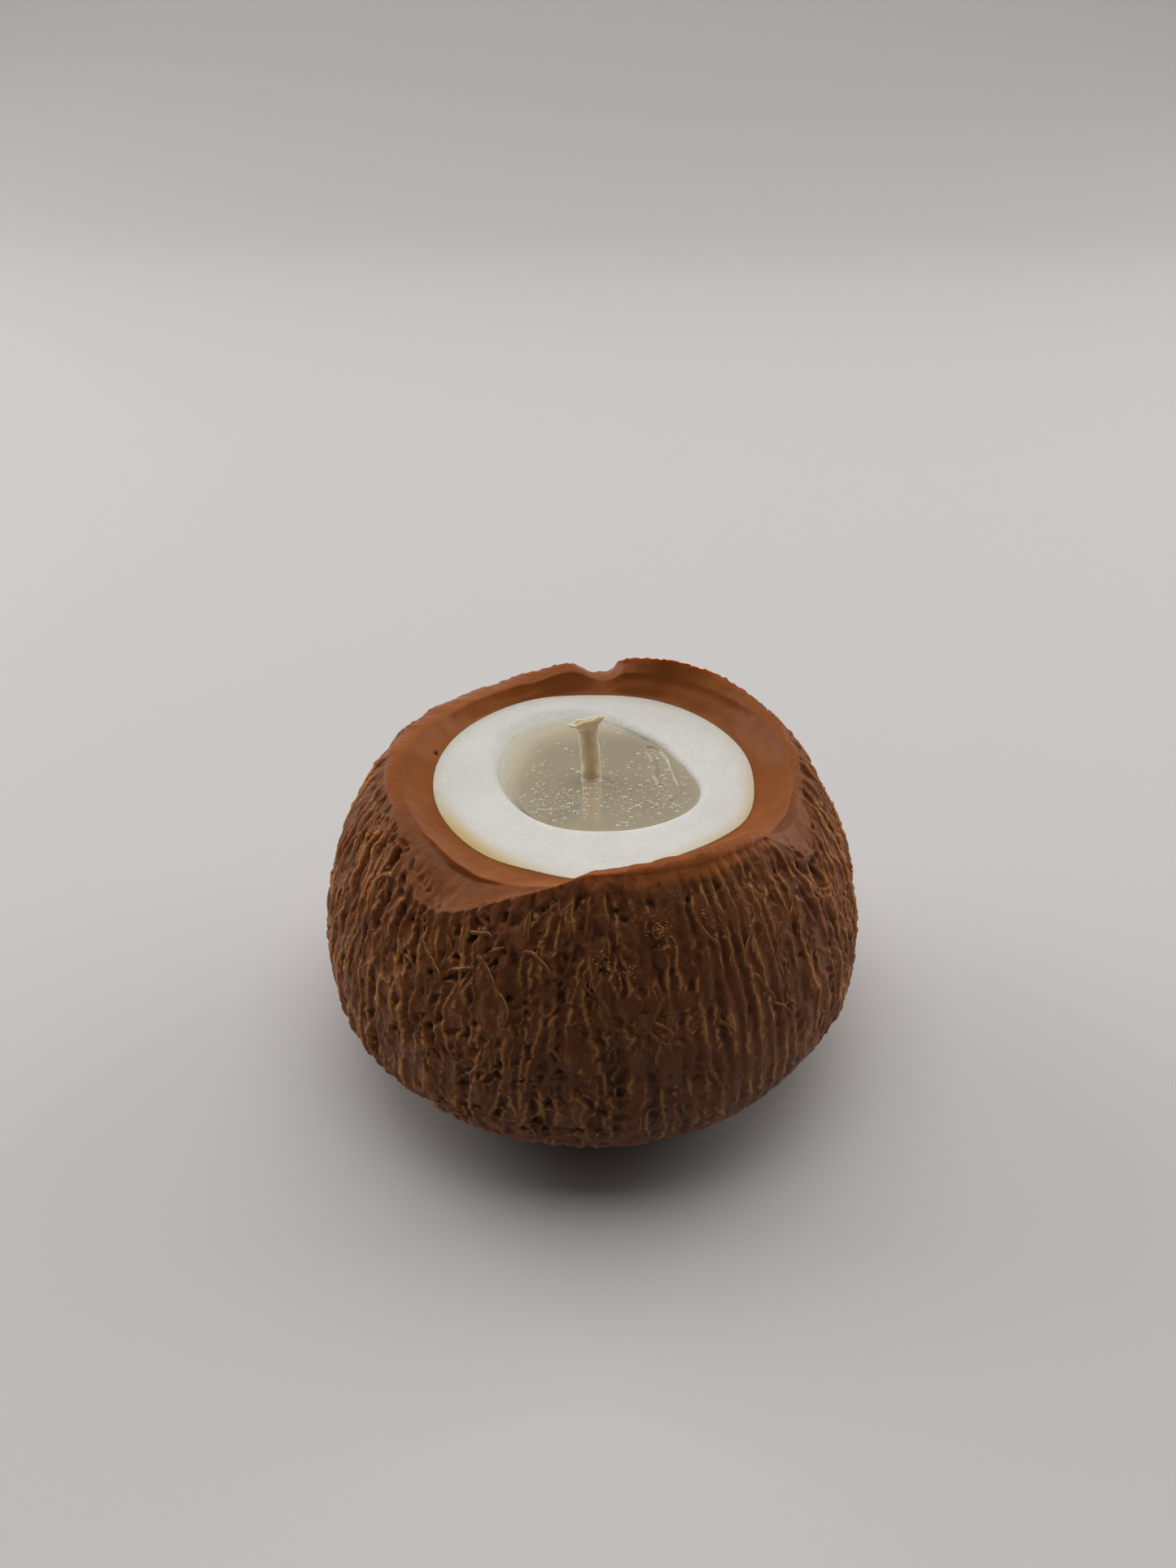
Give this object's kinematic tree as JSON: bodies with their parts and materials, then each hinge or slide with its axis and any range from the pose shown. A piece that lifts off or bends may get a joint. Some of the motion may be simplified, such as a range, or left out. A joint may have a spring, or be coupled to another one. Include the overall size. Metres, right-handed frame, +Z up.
{
  "type": "coconut candle",
  "caption": "Candle shaped like a broken coconut: a ridged brown wax cup with white wax, clear gel wax in its hollow, a braided wick and its metal foot.",
  "frame": {"origin": "on the flat base, below the candle's middle", "axes": "+Z up, -Y towards the front where the rim's big chip is on the left, +X to the front's right"},
  "size_m": [0.0915, 0.0916, 0.0615],
  "materials": {
    "brown_wax": "moulded brown candle wax, satin, slightly translucent",
    "white_wax": "poured white candle wax, satin, translucent, yellowed at its outer edge",
    "gel_wax": "clear gel wax with small air bubbles",
    "wick": "braided cotton soaked in wax",
    "wick_tab": "stamped tinned steel"
  },
  "bodies": {
    "root": {"husk_shell": "brown_wax", "white_wax": "white_wax", "gel_wax": "gel_wax", "wick": "wick", "wick_tab": "wick_tab"}
  },
  "joints": []
}
